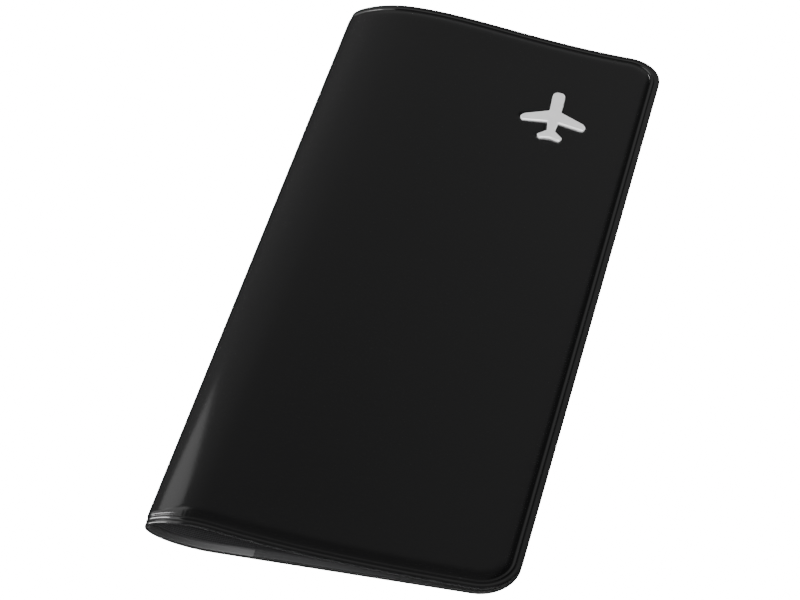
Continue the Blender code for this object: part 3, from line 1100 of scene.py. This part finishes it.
@dataclass
class Lining:
    """The grained lining, welded to the skin round the rim and loose enough to crease inside the fold."""

    outline: FoldedOutline
    rings: Sequence[float] = (0.0, 0.06, 0.2, 0.8, 1.6, 2.1, 2.4, 2.6, 2.8, 3.1, 3.8, 5.0)
    thickness: float = 0.20 * MM
    rim_inset: float = 0.12 * MM
    weld_slope: tuple = (2.3 * MM, 2.7 * MM)
    edge_round: float = 0.10 * MM
    edge_round_reach: float = 0.25 * MM
    crease: float = 0.05 * MM

    def build(self, cover: Cover, material: bpy.types.Material) -> bpy.types.Object:
        """Make one half of the lining.

        Args:
            cover: which half.
            material: the lining's finish.

        Returns:
            The finished piece.
        """
        outline = self.outline
        reach = outline.inward(cover, outline.seam)

        def outer(flat: FlatSheet) -> np.ndarray:
            """Lift of the face against the padding."""
            return np.full_like(flat.edge, -LINING_DEPTH)

        def inner(flat: FlatSheet) -> np.ndarray:
            """Lift of the open face: thick at the weld, then a groove, the sheet and soft creases.

            Args:
                flat: the sheet laid out flat.

            Returns:
                The lift of each point.
            """
            to_pocket = POCKET_DEPTH - LINING_DEPTH - self.thickness - SHEET_GAP
            weld = to_pocket * (1.0 - ease(flat.edge, *self.weld_slope))
            cut = self.edge_round * (1.0 - ease(flat.edge, 0.0, self.edge_round_reach))
            near_fold = hump(flat.inward, reach - 5.0 * MM, 12.0 * MM) * ease(flat.edge, 3.0 * MM, 9.0 * MM)
            waves = np.sin(flat.inward / (0.9 * MM) + 1.5 * np.sin(flat.y / (30.0 * MM)))
            creases = self.crease * near_fold * (1.0 + waves)
            return -(LINING_DEPTH + self.thickness + weld - cut + creases)

        pattern = Tongue(reach - self.rim_inset, HALF_LENGTH - self.rim_inset, rings=self.rings,
                         spacing=2.2 * MM, bend_spacing=0.7 * MM)
        wrapped = WrappedSheet(outline, cover, pattern, outer, inner, from_fore_edge=self.rim_inset)
        piece = wrapped.build(f"lining_{cover.level}", material)
        bend_across_fold(piece, outline, cover)
        if cover is Cover.BACK:
            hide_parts("lining_back", "lining_spine")
        else:
            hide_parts("lining_front")
        return piece


@dataclass
class FoamPad:
    """Thin foam between skin and lining, rounded at its edge and pressed in under the emblem's retainers."""

    outline: FoldedOutline
    presses: Sequence[tuple] = ()
    dimple: Callable[[np.ndarray, np.ndarray], np.ndarray] = lambda inward, y: 0.0 * y
    inset: float = 4.5 * MM
    fold_gap: float = 2.2 * MM
    top: float = 0.28 * MM
    bottom: float = -0.47 * MM
    pressed: float = -0.18 * MM
    press_slope: tuple = (2.4 * MM, 3.4 * MM)
    edge_round: float = 0.8 * MM
    thin_edge: float = 0.12
    fill: float = 0.35

    def build(self, cover: Cover, material: bpy.types.Material) -> bpy.types.Object:
        """Make the pad of one cover.

        Args:
            cover: which half.
            material: the foam's finish.

        Returns:
            The finished piece.
        """
        outline = self.outline
        reach = outline.hinge_inward(cover) - self.fold_gap - self.inset
        middle = (self.top + self.bottom) / 2.0
        half = (self.top - self.bottom) / 2.0

        def fullness(flat: FlatSheet) -> np.ndarray:
            """Share of the full thickness: a quarter round at all four edges.

            Args:
                flat: the sheet laid out flat.

            Returns:
                The share at each point.
            """
            nearest = np.minimum(flat.edge, reach - flat.inward)
            share = np.clip(nearest / self.edge_round, 0.0, 1.0)
            return self.thin_edge + (1.0 - self.thin_edge) * np.sqrt(1.0 - (1.0 - share) ** 2)

        def outer(flat: FlatSheet) -> np.ndarray:
            """Lift of the face under the skin, with a dimple under each retainer.

            Args:
                flat: the sheet laid out flat.

            Returns:
                The lift of each point.
            """
            lift = middle + half * fullness(flat)
            if cover is Cover.BACK:
                return lift
            lift = lift - self.dimple(flat.inward + self.inset, flat.y)
            for inward, y in self.presses:
                away = np.hypot(flat.inward + self.inset - inward, flat.y - y)
                lift = lift + (self.pressed - lift) * (1.0 - ease(away, *self.press_slope))
            return lift

        def inner(flat: FlatSheet) -> np.ndarray:
            """Lift of the face on the lining."""
            return middle - half * fullness(flat)

        pattern = Tongue(reach, HALF_LENGTH - self.inset, corner=CORNER_RADIUS - self.inset,
                         rings=(0.0, 0.1, 0.3, 0.6, 0.9, 1.5, 2.5, 4.0), spacing=2.0 * MM,
                         bend_spacing=0.9 * MM)
        wrapped = WrappedSheet(outline, cover, pattern, outer, inner, from_fore_edge=self.inset)
        piece = wrapped.build(f"padding_{cover.value}", material)
        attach(piece, cover.body)
        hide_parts(f"foam_pad_{cover.value}")
        return piece


@dataclass
class Pocket:
    """A sheet welded on three sides, with a pressed line beside its open edge and a slight belly."""

    outline: FoldedOutline
    cover: Cover
    name: str
    node: str
    reach: float = 70.0 * MM
    half_width: float = HALF_LENGTH - 0.2 * MM
    corner: float = CORNER_RADIUS
    from_fore_edge: float = 0.15 * MM
    centre_y: float = 0.0
    depth: float = POCKET_DEPTH
    thickness: float = 0.20 * MM
    weld: float = 2.5 * MM
    belly: float = 0.10 * MM
    belly_slope: float = 14.0 * MM
    hem: float = 2.2 * MM
    hem_depth: float = 0.09 * MM
    line_depth: float = 0.08 * MM
    edge_round: float = 0.07 * MM
    edge_round_reach: float = 0.2 * MM

    def build(self, material: bpy.types.Material) -> bpy.types.Object:
        """Make the pocket's sheet.

        Args:
            material: its finish.

        Returns:
            The finished piece.
        """
        def belly(flat: FlatSheet) -> np.ndarray:
            """How far the sheet stands into the wallet: most at the middle of its open edge.

            Args:
                flat: the sheet laid out flat.

            Returns:
                The height of each point.
            """
            across = ease(flat.edge, self.weld, self.weld + self.belly_slope)
            to_opening = ease(flat.inward, 0.25 * self.reach, self.reach)
            return self.belly * across * (0.35 + 0.65 * to_opening)

        def line(flat: FlatSheet) -> np.ndarray:
            """Depth of the pressed lines: one beside the open edge, one inside the weld."""
            hem = hump(flat.inward, self.reach - self.hem, 0.5 * MM)
            return self.hem_depth * hem + self.line_depth * hump(flat.edge, self.weld, 0.35 * MM)

        def outer(flat: FlatSheet) -> np.ndarray:
            """Lift of the face against the lining."""
            return -self.depth - belly(flat)

        def inner(flat: FlatSheet) -> np.ndarray:
            """Lift of the open face.

            Args:
                flat: the sheet laid out flat.

            Returns:
                The lift of each point.
            """
            nearest = np.minimum(flat.edge, self.reach - flat.inward)
            cut = self.edge_round * (1.0 - ease(nearest, 0.0, self.edge_round_reach))
            return -self.depth - self.thickness - belly(flat) + line(flat) + cut

        pattern = Tongue(self.reach, self.half_width, corner=self.corner,
                         rings=(0.0, 0.07, 0.2, 0.8, 1.6, 2.1, 2.3, 2.5, 2.7, 2.9, 3.4, 4.0),
                         band=8.0 * MM, zone=14.0 * MM, spacing=1.8 * MM,
                         bend=6.0 * MM, bend_spacing=0.3 * MM)
        wrapped = WrappedSheet(self.outline, self.cover, pattern, outer, inner,
                               self.from_fore_edge, self.centre_y)
        piece = wrapped.build(self.name, material)
        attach(piece, self.cover.body)
        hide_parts(self.node)
        2.0 * self.half_width
        return piece


@dataclass
class CardPocket(Pocket):
    """A small pocket for cards, welded on the front pocket's sheet."""

    reach: float = 57.0 * MM
    half_width: float = 31.0 * MM
    corner: float = 3.0 * MM
    from_fore_edge: float = 10.0 * MM
    depth: float = CARD_DEPTH
    weld: float = 1.8 * MM
    belly: float = 0.05 * MM


@dataclass
class Emblem:
    """A small aeroplane plate with rounded corners and a turned-over edge, held by two legs."""

    outline: FoldedOutline
    from_fore_edge: float = 27.6 * MM
    from_far_end: float = 35.8 * MM
    length: float = 23.0 * MM
    span: float = 20.4 * MM
    thickness: float = 0.9 * MM
    bevel: float = 0.30 * MM
    sink: float = 0.50 * MM
    turn: float = 2.5
    nudge: float = -0.6 * MM
    leg_radius: float = 0.7 * MM
    leg_spacing: float = 12.0 * MM
    leg_past_skin: float = 0.75 * MM
    corner_steps: int = 9
    samples: int = 800
    most_cut: float = 0.46
    back_bevel: float = 0.14 * MM
    back_bevel_height: float = 0.10 * MM
    bevel_steepness: float = 0.75
    face_inset: float = 0.04 * MM
    leg_in_plate: float = 0.45 * MM
    leg_sides: int = 24
    dimple_gap: float = 0.05 * MM
    dimple_start: float = -1.3 * MM
    dimple_end: float = 0.25 * MM
    bars: Sequence[tuple] = (
        ((0.0, 0.84), (0.0, -0.80), 1.75 * MM), ((0.0, -0.03), (0.86, -0.24), 1.6 * MM),
        ((0.0, -0.80), (0.28, -0.89), 1.0 * MM),
    )
    half_outline: Sequence[tuple] = (
        (0.000, 0.974, 0.9), (0.115, 0.954, 0.9), (0.190, 0.860, 1.3), (0.178, 0.170, 0.6),
        (0.900, -0.130, 0.7), (1.000, -0.255, 0.6), (0.935, -0.385, 0.4), (0.160, -0.260, 0.5),
        (0.120, -0.630, 0.5), (0.385, -0.860, 0.5), (0.300, -0.975, 0.4), (0.040, -0.905, 0.8),
    )

    def on_skin(self, x: float, y: float) -> Vector:
        """World point of the padded front cover at an X and a Y.

        Args:
            x: place across the wallet.
            y: place along the wallet.

        Returns:
            The point.
        """
        distances = np.linspace(self.outline.tip, self.outline.total, self.samples)
        along = np.full_like(distances, y / (2.0 * HALF_LENGTH) + 0.5)
        distance = np.interp(x, self.outline.points(distances, along)[0], distances)
        return Vector(self.outline.wrap(np.array([distance]), np.array([y]), np.array([PAD_RISE]))[0])

    def seat(self) -> Matrix:
        """The plate's own frame: across, lengthwise and square to the cover, its back pressed a little in.

        Returns:
            The frame as a matrix.
        """
        x = self.outline.half_width - self.from_fore_edge
        y = HALF_LENGTH - self.from_far_end
        half_span, half_length = self.span / 2.0, self.length / 2.0
        across = (self.on_skin(x + half_span, y) - self.on_skin(x - half_span, y)).normalized()
        lengthwise = (self.on_skin(x, y + half_length) - self.on_skin(x, y - half_length)).normalized()
        normal = across.cross(lengthwise).normalized()
        lengthwise = normal.cross(across)
        origin = self.on_skin(x, y)
        around = [self.on_skin(x + u * half_span, y + v * half_length)
                  for u in (-1.0, 0.0, 1.0) for v in (-1.0, 0.0, 1.0)]
        highest = max((point - origin).dot(normal) for point in around)
        origin += normal * (highest - self.sink)
        return Matrix.Translation(origin) @ Matrix((across, lengthwise, normal)).transposed().to_4x4()

    def rounded_outline(self) -> np.ndarray:
        """The whole outline, turned, with a quadratic Bezier in place of each corner.

        Returns:
            Points (x, y) in order, counter-clockwise.
        """
        half = np.array(self.half_outline)
        right = half[:, :2] * (self.span / 2.0, self.length / 2.0)
        inner = half[:, 0] > 0.0
        corners = np.concatenate([right, right[inner][::-1] * (-1.0, 1.0)])[::-1]
        cuts = np.concatenate([half[:, 2], half[inner, 2][::-1]])[::-1] * MM
        before = np.roll(corners, 1, axis=0) - corners
        after = np.roll(corners, -1, axis=0) - corners
        length_before, length_after = np.hypot(*before.T), np.hypot(*after.T)
        short_before = np.minimum(cuts / length_before, self.most_cut)[:, None]
        short_after = np.minimum(cuts / length_after, self.most_cut)[:, None]
        start, end = corners + before * short_before, corners + after * short_after
        share = np.linspace(0.0, 1.0, self.corner_steps)[None, :, None]
        arcs = ((1.0 - share) ** 2 * start[:, None] + 2.0 * share * (1.0 - share) * corners[:, None]
                + share**2 * end[:, None])
        angle = np.radians(self.turn)
        turned = np.array([[np.cos(angle), np.sin(angle)], [-np.sin(angle), np.cos(angle)]])
        return arcs.reshape(-1, 2) @ turned + (0.0, self.nudge)

    def plate(self) -> tuple:
        """The plate: a rounded section carried round the outline, closed by a flat face above and below.

        Returns:
            Points, face corners and face sizes in the plate's own frame.
        """
        path = self.rounded_outline()
        tangent = np.roll(path, -1, axis=0) - np.roll(path, 1, axis=0)
        tangent /= np.hypot(*tangent.T)[:, None]
        into = np.stack([-tangent[:, 1], tangent[:, 0]], axis=1)
        turn = np.linspace(0.0, 0.5 * np.pi, 6)
        drop = self.bevel * self.bevel_steepness
        top = self.thickness - drop
        inset = np.concatenate([[self.back_bevel, 0.0, 0.0], self.bevel * (1.0 - np.cos(turn))[1:],
                                [self.bevel + self.face_inset]])
        height = np.concatenate([[0.0, self.back_bevel_height, top], top + drop * np.sin(turn)[1:],
                                 [self.thickness]])
        rings = path[None] + inset[:, None, None] * into[None]
        levels = np.broadcast_to(height[:, None, None], (*rings.shape[:2], 1))
        return close_rings(np.concatenate([rings, levels], axis=2))

    def leg(self, centre: float, bottom: float) -> tuple:
        """One round leg: circles at four heights, the lowest drawn in, closed above and below.

        Args:
            centre: its place lengthwise in the plate's frame.
            bottom: height of its foot.

        Returns:
            Points, face corners and face sizes in the plate's own frame.
        """
        top = self.leg_in_plate
        turn = np.linspace(0.0, 2.0 * np.pi, self.leg_sides, endpoint=False)
        radius = self.leg_radius * np.array([0.8, 1.0, 1.0, 1.0])
        height = np.array([bottom, bottom + 0.1 * MM, (bottom + top) / 2.0, top])
        x = radius[:, None] * np.cos(turn)
        y = centre + radius[:, None] * np.sin(turn)
        return close_rings(np.stack([x, y, np.broadcast_to(height[:, None], x.shape)], axis=-1))

    def dimple(self, inward: np.ndarray, y: np.ndarray) -> np.ndarray:
        """How far the plate presses the padding in: full under it, easing away round it.

        The distance from the plate is that from three bars with round ends: body, wings and tail.

        Args:
            inward: distances from the front fore-edge.
            y: places along the wallet.

        Returns:
            The depth at each place.
        """
        across = np.abs(inward - self.from_fore_edge - self.outline.front_overhang)
        along = y - HALF_LENGTH + self.from_far_end - self.nudge
        away = np.full_like(across, 1.0)
        for start, end, half in self.bars:
            first = np.array(start) * (self.span / 2.0, self.length / 2.0)
            run = np.array(end) * (self.span / 2.0, self.length / 2.0) - first
            share = ((across - first[0]) * run[0] + (along - first[1]) * run[1]) / (run @ run)
            share = np.clip(share, 0.0, 1.0)
            to_bar = np.hypot(across - first[0] - share * run[0], along - first[1] - share * run[1])
            away = np.minimum(away, to_bar - half)
        depth = self.sink + self.dimple_gap
        return depth * (1.0 - ease(away, self.dimple_start, self.dimple_end))

    def legs_on_cover(self) -> list:
        """Place of each leg on the front cover: distance in from the fore-edge, and Y.

        Returns:
            One pair for each leg.
        """
        y = HALF_LENGTH - self.from_far_end
        inward = self.from_fore_edge + self.outline.front_overhang
        return [(inward, y - self.leg_spacing / 2.0), (inward, y + self.leg_spacing / 2.0)]

    def build(self, material: bpy.types.Material) -> bpy.types.Object:
        """Make the plate and its legs as one piece on the front cover.

        Args:
            material: the metal's finish.

        Returns:
            The finished piece.
        """
        seat = self.seat()
        parts = [self.plate()]
        for centre in (-self.leg_spacing / 2.0, self.leg_spacing / 2.0):
            spot = seat @ Vector((0.0, centre, 0.0))
            foot = (seat.inverted() @ self.on_skin(spot.x, spot.y)).z - self.leg_past_skin
            parts.append(self.leg(centre, foot))
        starts = np.cumsum([0] + [len(points) for points, _, _ in parts])
        points = np.concatenate([part[0] for part in parts])
        loops = np.concatenate([part[1] + start for part, start in zip(parts, starts)])
        sizes = np.concatenate([part[2] for part in parts])
        placed = points @ np.array(seat.to_3x3()).T + np.array(seat.translation)
        piece = make_piece("emblem", placed, loops, sizes, material, sharp_angle=50.0)
        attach(piece, Cover.FRONT.body)
        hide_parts("emblem_plate")
        return piece


# --- Studio ---------------------------------------------------------------------------------------


@dataclass(frozen=True)
class SoftBox:
    """A soft light: a glowing rectangle that looks at a point of the wallet."""

    name: str
    azimuth: float
    elevation: float
    distance: float
    width: float
    height: float
    radiance: float
    turn: float = 0.0
    target: tuple = (0.0, 0.0, 0.005)

    def place(self) -> None:
        """Add the light, turned about its own axis by its turn."""
        around, up = np.radians(self.azimuth), np.radians(self.elevation)
        towards = Vector((np.sin(around) * np.cos(up), np.cos(around) * np.cos(up), np.sin(up)))
        data = bpy.data.lights.new(self.name, "AREA")
        data.shape = "RECTANGLE"
        data.size, data.size_y = self.width, self.height
        data.energy = self.radiance * np.pi * self.width * self.height
        light = bpy.data.objects.new(self.name, data)
        turned = Matrix.Rotation(np.radians(self.turn), 3, "Z")
        facing = towards.to_track_quat("Z", "Y").to_matrix() @ turned
        place = Vector(self.target) + towards * self.distance
        light.matrix_world = Matrix.Translation(place) @ facing.to_4x4()
        light.visible_camera = False
        bpy.context.scene.collection.objects.link(light)


@dataclass
class Studio:
    """Pale floor, soft lights, dim surroundings and the camera."""

    floor_size: float = 8.0
    floor_drop: float = 0.05 * MM
    lens: float = 145.28
    sensor: float = 36.0
    clip: tuple = (0.01, 50.0)
    azimuth: float = 0.2513318
    elevation: float = 0.7304676
    roll: float = -0.0290890
    distance: float = 0.93100
    target: tuple = (-5.912 * MM, -6.164 * MM, 0.0)
    card_dark: float = 0.8
    low_light: float = 0.285
    high_light: float = 0.12
    below_light: float = 0.06
    low_step: tuple = (-0.25, 0.35)
    high_step: tuple = (0.62, 0.92)
    card_step: tuple = (0.12, 0.34)
    lights: Sequence[SoftBox] = (
        SoftBox("left_wall", -80.0, 42.0, 1.5, 1.6, 1.4, 1.2, 9.0, (-0.045, -0.090, 0.008)),
        SoftBox("left_strip", -83.0, 40.0, 1.4, 0.22, 0.9, 17.0, 0.0, (-0.045, -0.110, 0.008)),
        SoftBox("fold_lamp", -38.0, 30.0, 0.22, 0.05, 0.07, 1.05, 0.0, (-0.045, -0.117, 0.008)),
        SoftBox("camera_fill", 165.0, 38.0, 1.6, 1.1, 0.8, 19.0),
        SoftBox("back_lamp", 20.0, 8.0, 1.6, 0.2, 0.16, 16.0, 0.0, (0.045, 0.110, 0.004)),
    )

    def floor(self) -> None:
        """Lay the floor: one square just under the wallet."""
        half = self.floor_size / 2.0
        corners = np.array([(-half, -half), (half, -half), (half, half), (-half, half)])
        points = np.column_stack([corners, np.full(4, -self.floor_drop)])
        piece = make_piece("floor", points, np.arange(4), np.array([4]), StudioPaper().make())
        piece.visible_glossy = False

    def world(self) -> None:
        """Dim surroundings: smooth steps on the sine of the elevation, and a dark card on the right."""
        world = bpy.data.worlds.new("studio")
        bpy.context.scene.world = world
        world.use_nodes = True
        background = world.node_tree.nodes["Background"]
        background.inputs["Color"].default_value = WHITE
        recipe = Recipe.on_tree(world.node_tree, background)
        direction = recipe.node("ShaderNodeTexCoord", {}, {}, "Generated")
        height = recipe.part(direction, "Z")
        card = recipe.part(direction, "X").ramp(*self.card_step) * self.card_dark
        above = height.ramp(*self.low_step) * (self.low_light - self.below_light) + self.below_light
        open_sky = above - height.ramp(*self.high_step) * (self.low_light - self.high_light)
        recipe.feed("Strength", open_sky * (1.0 - card))

    def camera(self) -> None:
        """Add the camera: its axis goes from the target by azimuth and elevation, and it rolls about it."""
        back = Vector((np.sin(self.azimuth) * np.cos(self.elevation),
                       -np.cos(self.azimuth) * np.cos(self.elevation), np.sin(self.elevation)))
        level = (-back).cross(Vector((0.0, 0.0, 1.0))).normalized()
        upright = level.cross(-back)
        right = level * np.cos(self.roll) + upright * np.sin(self.roll)
        up = upright * np.cos(self.roll) - level * np.sin(self.roll)
        data = bpy.data.cameras.new("camera")
        data.lens = self.lens
        data.sensor_width = self.sensor
        data.clip_start, data.clip_end = self.clip
        camera = bpy.data.objects.new("camera", data)
        turned = Matrix((right, up, back)).transposed().to_4x4()
        camera.matrix_world = Matrix.Translation(Vector(self.target) + back * self.distance) @ turned
        bpy.context.scene.collection.objects.link(camera)
        bpy.context.scene.camera = camera

    def build(self) -> None:
        """Set up the whole studio."""
        self.camera()
        self.floor()
        self.world()
        for light in self.lights:
            light.place()
            log.info("light %s", light.name)


def dress_packed_node(name: str, material: bpy.types.Material) -> None:
    """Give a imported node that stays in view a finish.

    Args:
        name: the node's name.
        material: its finish.
    """
    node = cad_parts[name]
    node.data.materials.clear()
    node.data.materials.append(material)


def report(piece: bpy.types.Object) -> None:
    """Report one piece and its size."""
    size = ", ".join(f"{1000.0 * part:.1f}" for part in piece.dimensions)
    log.info("%s: %d faces, %s mm", piece.name, len(piece.data.polygons), size)


def main() -> None:
    """Build the studio and every piece of the wallet in order."""
    logging.basicConfig(level=logging.INFO, format="%(message)s")
    Studio().build()
    outline = FoldedOutline()
    gloss, grain, foam = GlossSkin().make(), GrainedLining().make(), OpenFoam().make()
    panel, metal = PocketSheet().make(), SatinMetal().make()
    emblem = Emblem(outline)
    pads = FoamPad(outline, presses=emblem.legs_on_cover(), dimple=emblem.dimple)
    skins = GlossCover(outline, dimple=emblem.dimple)
    for cover in Cover:
        report(skins.build(cover, gloss))
        report(Lining(outline).build(cover, grain))
        report(pads.build(cover, foam))
        node = f"pocket_{cover.value}"
        report(Pocket(outline, cover, f"{node}_sheet", node).build(panel))
    for number, centre in enumerate(CARD_CENTRES, start=1):
        names = f"card_pocket_{number}", f"card_slot_{number}"
        report(CardPocket(outline, Cover.FRONT, *names, centre_y=centre).build(panel))
    report(emblem.build(metal))
    for number in (1, 2):
        dress_packed_node(f"emblem_retainer_{number}", metal)


if __name__ == "__main__":
    main()
